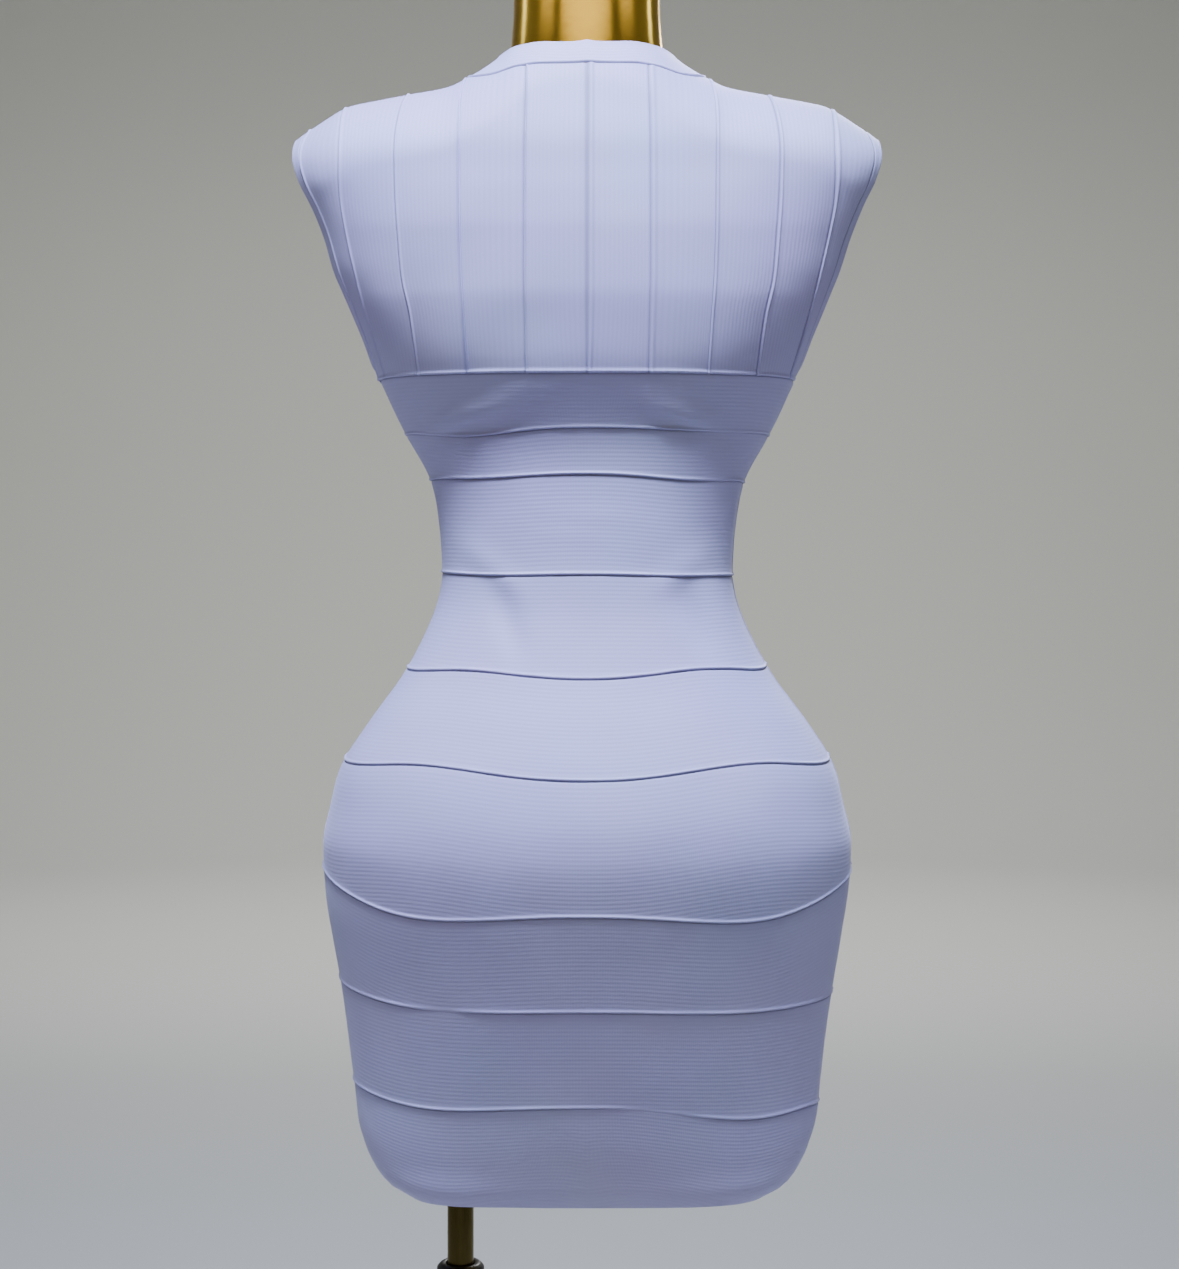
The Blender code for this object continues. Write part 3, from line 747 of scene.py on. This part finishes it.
def black_nylon():
    """Moulded black nylon with the fine grain of a spark-eroded mould."""
    material, tree, shader = new_material("moulded_black_nylon")
    if tree is None:
        return material
    coordinates = add_node(tree, "ShaderNodeTexCoord")
    grain = add_node(tree, "ShaderNodeTexNoise", links={
        "Vector": coordinates.outputs["Object"], "Scale": 1800.0, "Detail": 2.0})
    bump = add_node(tree, "ShaderNodeBump", links={
        "Height": grain.outputs[0], "Strength": 0.25, "Distance": 0.0002})
    tree.links.new(bump.outputs[0], shader.inputs["Normal"])
    shader.inputs["Base Color"].default_value = (*linear("#1A1A1B"), 1.0)
    shader.inputs["Roughness"].default_value = 0.42
    return material


# ---- the dress form ----
FORM_BOTTOM = -398.0
# height, half width, depth behind, depth before
FORM_NECK = (
    (372, 56, 45.8, 49),
    (380, 54.5, 45.5, 48),
    (400, 53, 45, 47),
    (420, 52.5, 45, 47),
    (444, 52.5, 45, 47),
    (449.5, 51, 43.6, 45.6),
    (452, 48, 41, 43),
)
# height, share of the lowest full section
FORM_FOOT = ((FORM_BOTTOM, 0.90), (-397, 0.93), (-394, 0.96))
# the flat arm plates: height of their foot, distance from the middle there, lean outwards
PLATE_FOOT = 148.0
PLATE_X = 136.0
PLATE_LEAN = 0.37
FORM_COLUMNS = 120


def form_ring(height):
    """Level section of the form, inside the cloth, with flat arm plates."""
    width, _, _, square = section(height)
    reach = min(width - FORM_INSET, crest_reach(height + FORM_INSET))
    ring = []
    for j in range(FORM_COLUMNS):
        angle = 2 * math.pi * j / FORM_COLUMNS
        sine, cosine = math.sin(angle), math.cos(angle)
        x = reach * abs(sine) ** (2 / square)
        side = 1 if cosine >= 0 else -1
        y = 0.0 if abs(cosine) < 1e-6 else surface_depth(x, height, side, FORM_INSET)
        if height > PLATE_FOOT:
            x = min(x, PLATE_X + (height - PLATE_FOOT) * PLATE_LEAN)
        ring.append(Vector((math.copysign(x, sine), side * y, height)))
    return ring


def form_heights():
    """Heights of the form's sections, closer together from the arm plates' foot up."""
    plate_edge = (139, 142, 145, PLATE_FOOT - 0.1, PLATE_FOOT + 0.1)
    return [*range(-388, plate_edge[0], 6), *plate_edge, *range(151, 368, 3)]


def neck_ring(height, width, back, front):
    """Section of the form's neck, an oval with its own depths behind and before."""
    ring = []
    for j in range(FORM_COLUMNS):
        angle = 2 * math.pi * j / FORM_COLUMNS
        depth = back if math.cos(angle) >= 0 else front
        ring.append(Vector((width * math.sin(angle), depth * math.cos(angle), height)))
    return ring


def loft(name, rings):
    """Closed skin over a stack of rings, flat at both ends."""
    work = bmesh.new()
    circles = [[work.verts.new(in_metres(point)) for point in ring] for ring in rings]
    count = len(rings[0])
    for low, high in zip(circles, circles[1:]):
        for j in range(count):
            k = (j + 1) % count
            work.faces.new((low[j], low[k], high[k], high[j]))
    work.faces.new(circles[0])
    work.faces.new(circles[-1])
    bmesh.ops.remove_doubles(work, verts=work.verts[:], dist=0.00001)
    bmesh.ops.recalc_face_normals(work, faces=work.faces[:])
    mesh = bpy.data.meshes.new(name)
    work.to_mesh(mesh)
    work.free()
    piece = bpy.data.objects.new(name, mesh)
    bpy.context.scene.collection.objects.link(piece)
    return piece


# ---- operators ----
class DressSizes(bpy.types.PropertyGroup):
    cloth_wall: FloatProperty(
        name="Cloth wall", description="Thickness of the knit", default=WALL * MM, unit="LENGTH")
    rib_pitch: FloatProperty(
        name="Rib pitch", description="Distance between the knit's ribs", default=0.003, unit="LENGTH")
    seam_rise: FloatProperty(
        name="Seam rise", description="Height of the rolled edge at a seam", default=0.0009, unit="LENGTH")
    unevenness: FloatProperty(
        name="Unevenness", description="Slow rise and fall of the worn cloth", default=0.0006,
        unit="LENGTH")
    cut_ease: FloatProperty(
        name="Cut ease", description="Cut area over worn area of the stretched knit", default=0.92)
    camera_distance: FloatProperty(
        name="Camera distance", description="From the form's axis", default=1.6, unit="LENGTH")


class DressColours(bpy.types.PropertyGroup):
    knit: FloatVectorProperty(
        name="Knit", description="Crowns of the ribs", subtype="COLOR", default=linear("#ADA9D4"))
    # painted shade for the grooves between the ribs, a little darker than the crowns
    painted_groove_shade: FloatVectorProperty(
        name="Knit grooves", description="Between the ribs", subtype="COLOR", default=linear("#A8A4D0"))
    seam_shadow: FloatVectorProperty(
        name="Seam shadow", description="Down in the seams", subtype="COLOR",
        default=linear("#4A485E"))
    gold: FloatVectorProperty(
        name="Gold", description="Lacquer of the form", subtype="COLOR", default=linear("#F6C64A"))
    backdrop: FloatVectorProperty(
        name="Backdrop", description="Floor and wall", subtype="COLOR", default=linear("#D0D1CC"))


class DRESS_OT_bands(bpy.types.Operator):
    """Knit the crosswise bands from the bust to the hem"""
    bl_idname = "dress.bands"
    bl_label = "Crosswise bands"

    def execute(self, context):
        last = len(BAND_SEAMS) - 2
        for number in range(last + 1):
            for side in (1, -1):
                band(number, side, number == last)
        return {"FINISHED"}


class DRESS_OT_strips(bpy.types.Operator):
    """Knit the lengthwise strips of the shoulders"""
    bl_idname = "dress.strips"
    bl_label = "Lengthwise strips"

    def execute(self, context):
        for number in range(STRIP_COUNT):
            for hand in (1, -1):
                for side in (1, -1):
                    strip(number, hand, side)
        return {"FINISHED"}


class DRESS_OT_edges(bpy.types.Operator):
    """Knit the neckband and the armhole bands"""
    bl_idname = "dress.edges"
    bl_label = "Neckband and armhole bands"

    def execute(self, context):
        neckband()
        armhole(1)
        armhole(-1)
        return {"FINISHED"}


class DRESS_OT_form(bpy.types.Operator):
    """Build the smooth limbless dress form"""
    bl_idname = "dress.form"
    bl_label = "Dress form"

    def execute(self, context):
        heights = form_heights()
        lowest = form_ring(heights[0])
        rings = [[Vector((p.x * share, p.y * share, height)) for p in lowest]
                 for height, share in FORM_FOOT]
        rings += [form_ring(height) for height in heights]
        rings += [neck_ring(*row) for row in FORM_NECK]
        form = loft("dress_form", rings)
        select_only(form)
        bpy.ops.object.shade_smooth_by_angle(angle=math.radians(35))
        form.data.materials.append(gold_lacquer())
        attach(form, FORM)
        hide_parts("form_torso")
        return {"FINISHED"}


# ---- the pole and the base ----
POLE_X = 91.0            # off the middle, towards the wearer's left
ROD_RADIUS = 9.5
ROD_ENGAGED = 260.0      # length of rod inside the tube
TUBE_RADIUS = 12.7
TUBE_BORE = 10.4
COLLAR_RADIUS = 17.0
COLLAR_TOP = 556.0
COLLAR_HEIGHT = 34.0
BASE_RADIUS = 190.0
BASE_THICKNESS = 8.0
SEAM_GAP = 0.3           # between neighbouring pieces


def extruded_rings(name, profile, x, fill, steps):
    """Rings extruded one from the other along a profile of (radius, height above the floor)."""
    radius, height = profile[0]
    bpy.ops.object.select_all(action="DESELECT")
    bpy.ops.mesh.primitive_circle_add(
        vertices=steps, radius=radius * MM, fill_type=fill, location=(x * MM, 0.0, height * MM))
    piece = bpy.context.object
    piece.name = name
    bpy.ops.object.mode_set(mode="EDIT")
    bpy.ops.mesh.select_all(action="SELECT")
    for next_radius, next_height in profile[1:]:
        move = (0.0, 0.0, (next_height - height) * MM)
        growth = next_radius / radius
        bpy.ops.mesh.extrude_region_move(TRANSFORM_OT_translate={"value": move})
        bpy.ops.transform.resize(
            value=(growth, growth, 1.0), center_override=(x * MM, 0.0, next_height * MM))
        radius, height = next_radius, next_height
    return piece


def turned(name, profile, x, material, hollow=False, bevel=0.6, steps=96):
    """Turned piece with softened edges; a hollow one's profile runs all round its wall."""
    piece = extruded_rings(name, profile, x, "NOTHING" if hollow else "NGON", steps)
    if hollow:
        bpy.ops.mesh.select_all(action="DESELECT")
        bpy.ops.mesh.select_non_manifold()
        bpy.ops.mesh.bridge_edge_loops()
    bpy.ops.mesh.select_all(action="SELECT")
    bpy.ops.mesh.normals_make_consistent(inside=False)
    bpy.ops.object.mode_set(mode="OBJECT")
    bpy.ops.object.transform_apply(location=True, rotation=True, scale=True)
    soften = piece.modifiers.new("Soften", "BEVEL")
    soften.width = bevel * MM
    soften.segments = 3
    soften.limit_method = "ANGLE"
    apply_modifiers(piece)
    bpy.ops.object.shade_smooth_by_angle(angle=math.radians(40))
    piece.data.materials.append(material)
    return piece


def stand_piece(piece, body, node):
    """Ride a body, in the place of a node."""
    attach(piece, body)
    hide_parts(node)


def build_pole():
    """Base plate, flange, tube, sliding rod and the socket under the form."""
    brass = dark_brass()
    tube_top = COLLAR_TOP - 6.0
    rod_top = WAIST_HEIGHT + FORM_BOTTOM - 20.0
    rod_foot = COLLAR_TOP - ROD_ENGAGED
    flange_foot = BASE_THICKNESS + SEAM_GAP
    flange_top = flange_foot + 6.0
    hub_top = flange_top + 26.0
    form_foot = WAIST_HEIGHT + FORM_BOTTOM - SEAM_GAP
    bore = TUBE_RADIUS + SEAM_GAP
    wall = ROD_RADIUS + SEAM_GAP
    base = turned("base_plate_finished", (
        (BASE_RADIUS - 3, BASE_THICKNESS), (BASE_RADIUS, BASE_THICKNESS - 3), (BASE_RADIUS, 1),
        (BASE_RADIUS - 1, 0)), 0.0, brass, steps=192)
    stand_piece(base, STAND, "base_plate")
    flange = turned("base_flange_finished", (
        (bore, hub_top), (18, hub_top), (20, hub_top - 2), (20, flange_top + 4), (34, flange_top),
        (36, flange_top - 2), (36, flange_foot), (bore, flange_foot)), POLE_X, brass, hollow=True)
    stand_piece(flange, STAND, "base_flange")
    tube = turned("pole_lower_finished", (
        (TUBE_BORE, tube_top), (TUBE_RADIUS, tube_top), (TUBE_RADIUS, flange_foot),
        (TUBE_BORE, flange_foot)), POLE_X, brass, hollow=True)
    stand_piece(tube, STAND, "pole_lower")
    rod = turned("pole_upper_finished", (
        (ROD_RADIUS - 1, rod_top), (ROD_RADIUS, rod_top - 1), (ROD_RADIUS, rod_foot + 1),
        (ROD_RADIUS - 1, rod_foot)), POLE_X, brass)
    stand_piece(rod, FORM, "pole_upper")
    socket = turned("form_socket_finished", (
        (30, form_foot), (30, form_foot - 4), (15, form_foot - 7), (14, form_foot - 34),
        (wall, form_foot - 34), (wall, rod_top + SEAM_GAP)), POLE_X, brass)
    stand_piece(socket, FORM, "form_socket")


def build_collar():
    """Clamp collar at the tube's mouth and the thumb knob that tightens it."""
    black = black_nylon()
    collar_foot = COLLAR_TOP - COLLAR_HEIGHT
    bore = TUBE_RADIUS + SEAM_GAP
    tube_top = COLLAR_TOP - 6.0 + SEAM_GAP
    collar = turned("collar_finished", (
        (TUBE_BORE, COLLAR_TOP), (COLLAR_RADIUS - 3, COLLAR_TOP), (COLLAR_RADIUS, COLLAR_TOP - 3),
        (COLLAR_RADIUS, collar_foot), (bore, collar_foot), (bore, tube_top),
        (TUBE_BORE, tube_top)), POLE_X, black, hollow=True, bevel=1.0)
    stand_piece(collar, STAND, "pole_collar")
    knob = turned("knob_finished", (
        (8, 20), (10, 18), (10, 9), (5, 7), (5, 0)), 0.0, black)
    knob.rotation_euler = (0.0, math.radians(90), 0.0)
    knob.location = (
        (POLE_X + COLLAR_RADIUS + SEAM_GAP) * MM, 0.0, (COLLAR_TOP - COLLAR_HEIGHT / 2 - 4) * MM)
    bpy.ops.object.transform_apply(location=True, rotation=True, scale=False)
    stand_piece(knob, STAND, "collar_knob")


class DRESS_OT_stand(bpy.types.Operator):
    """Build the pole, its clamp collar and the round base"""
    bl_idname = "dress.stand"
    bl_label = "Pole and base"

    def execute(self, context):
        build_pole()
        build_collar()
        return {"FINISHED"}


class DRESS_OT_stage(bpy.types.Operator):
    """Set up the floor, the round backdrop, the lights and the camera"""
    bl_idname = "dress.stage"
    bl_label = "Studio"

    def execute(self, context):
        build_floor()
        build_lights()
        build_camera()
        return {"FINISHED"}


def build_floor():
    """Round floor that turns up into a wall, large enough for every view."""
    radius, cove, wall = 7500.0, 1500.0, 9000.0
    profile = [(radius, wall)]
    profile += [(radius - cove + cove * math.sin(a), cove - cove * math.cos(a))
                for a in (math.radians(9 * i) for i in range(10, 0, -1))]
    profile += [(radius - cove, 0.0), (10.0, 0.0)]
    floor = extruded_rings("studio_floor", profile, 0.0, "NOTHING", 96)
    bpy.ops.mesh.edge_face_add()
    bpy.ops.mesh.select_all(action="SELECT")
    bpy.ops.mesh.normals_make_consistent(inside=True)
    bpy.ops.object.mode_set(mode="OBJECT")
    bpy.ops.object.transform_apply(location=True, rotation=True, scale=True)
    floor.data.shade_smooth()
    material, _, shader = new_material("painted_studio_floor")
    shader.inputs["Base Color"].default_value = (*bpy.context.scene.dress_colours.backdrop, 1.0)
    shader.inputs["Roughness"].default_value = 0.9
    floor.data.materials.append(material)


def area_light(name, place, target, size, watts, colour, spread=180):
    """Panel light at a place, turned to its target."""
    data = bpy.data.lights.new(name, "AREA")
    data.shape = "RECTANGLE"
    data.size, data.size_y = size
    data.energy = watts
    data.color = linear(colour)
    data.spread = math.radians(spread)
    lamp = bpy.data.objects.new(name, data)
    lamp.location = place
    lamp.rotation_euler = (Vector(target) - Vector(place)).to_track_quat("-Z", "Y").to_euler()
    bpy.context.scene.collection.objects.link(lamp)


def build_lights():
    """Cool key from above, warm panels behind the camera, low fills and washes on the walls."""
    world = bpy.data.worlds.get("World") or bpy.data.worlds.new("World")
    bpy.context.scene.world = world
    world.use_nodes = True
    back = world.node_tree.nodes["Background"]
    back.inputs[0].default_value = (*linear("#FFEFDC"), 1.0)
    back.inputs[1].default_value = 0.01
    cool, warm, white = "#CFDCFF", "#FFF4E4", "#FFFFFF"
    area_light("ceiling_panel", (0.12, 0.74, 2.8), (0.0, 0.0, 1.2), (0.7, 0.4), 47, cool, 100)
    area_light("far_panel", (0.12, 3.8, 2.45), (0.0, 0.0, 1.45), (5.0, 0.45), 13, warm)
    for hand, word in ((1, "left"), (-1, "right")):
        area_light(f"{word}_far_panel", (hand * 3.9, 2.6, 2.45), (0.0, 0.0, 1.45), (1.8, 0.45), 5, warm)
        area_light(f"{word}_strip", (hand * 2.2, -0.6, 1.4), (0.0, 0.0, 0.95), (0.3, 1.6), 1, cool, 70)
        area_light(
            f"{word}_wash", (hand * 2.6, 0.0, 3.6), (hand * 7.5, 0.0, 1.0), (3.0, 0.8), 14, white, 120)
    area_light("front_fill", (-0.9, -2.6, 2.6), (0.0, 0.0, 1.1), (1.2, 0.8), 12, white, 70)
    area_light("near_wash", (0.0, 4.4, 3.8), (0.0, 7.5, 1.0), (3.0, 0.8), 22, white, 120)
    area_light("wall_wash", (0.0, -2.6, 3.6), (0.0, -7.5, 1.0), (3.0, 0.8), 46, white, 120)
    area_light("floor_wash", (0.0, -3.4, 4.2), (0.0, -4.4, 0.0), (4.0, 1.5), 70, white, 120)


def build_camera():
    """Camera behind the dress, level with the waist, as tall as the dress needs."""
    data = bpy.data.cameras.new("camera")
    data.sensor_fit = "VERTICAL"
    data.sensor_height = 36.0
    data.lens = 63.04
    data.shift_x = 0.002
    data.shift_y = -0.0705
    camera = bpy.data.objects.new("camera", data)
    distance = bpy.context.scene.dress_sizes.camera_distance
    camera.location = (0.0, distance, (WAIST_HEIGHT + 22) * MM)
    camera.rotation_euler = (math.radians(90), 0.0, math.radians(180))
    bpy.context.scene.collection.objects.link(camera)
    bpy.context.scene.camera = camera


class DRESS_PT_panel(bpy.types.Panel):
    """Sizes, colours and the steps that build the dress"""
    bl_label = "Bandage dress"
    bl_idname = "DRESS_PT_panel"
    bl_space_type = "VIEW_3D"
    bl_region_type = "UI"
    bl_category = "Dress"

    def draw(self, context):
        layout = self.layout
        for group in (context.scene.dress_sizes, context.scene.dress_colours):
            for key in group.bl_rna.properties.keys():
                if key not in ("rna_type", "name"):
                    layout.prop(group, key)
        for operator in STEPS:
            layout.operator(operator.bl_idname)


STEPS = (
    DRESS_OT_stage,
    DRESS_OT_bands,
    DRESS_OT_strips,
    DRESS_OT_edges,
    DRESS_OT_form,
    DRESS_OT_stand,
)
CLASSES = (DressSizes, DressColours, *STEPS, DRESS_PT_panel)


def register():
    for cls in CLASSES:
        bpy.utils.register_class(cls)
    bpy.types.Scene.dress_sizes = PointerProperty(type=DressSizes)
    bpy.types.Scene.dress_colours = PointerProperty(type=DressColours)


def unregister():
    del bpy.types.Scene.dress_colours
    del bpy.types.Scene.dress_sizes
    for cls in reversed(CLASSES):
        bpy.utils.unregister_class(cls)


def main():
    register()
    bpy.ops.dress.stage()
    bpy.ops.dress.bands()
    bpy.ops.dress.strips()
    bpy.ops.dress.edges()
    bpy.ops.dress.form()
    bpy.ops.dress.stand()


if __name__ == "__main__":
    main()
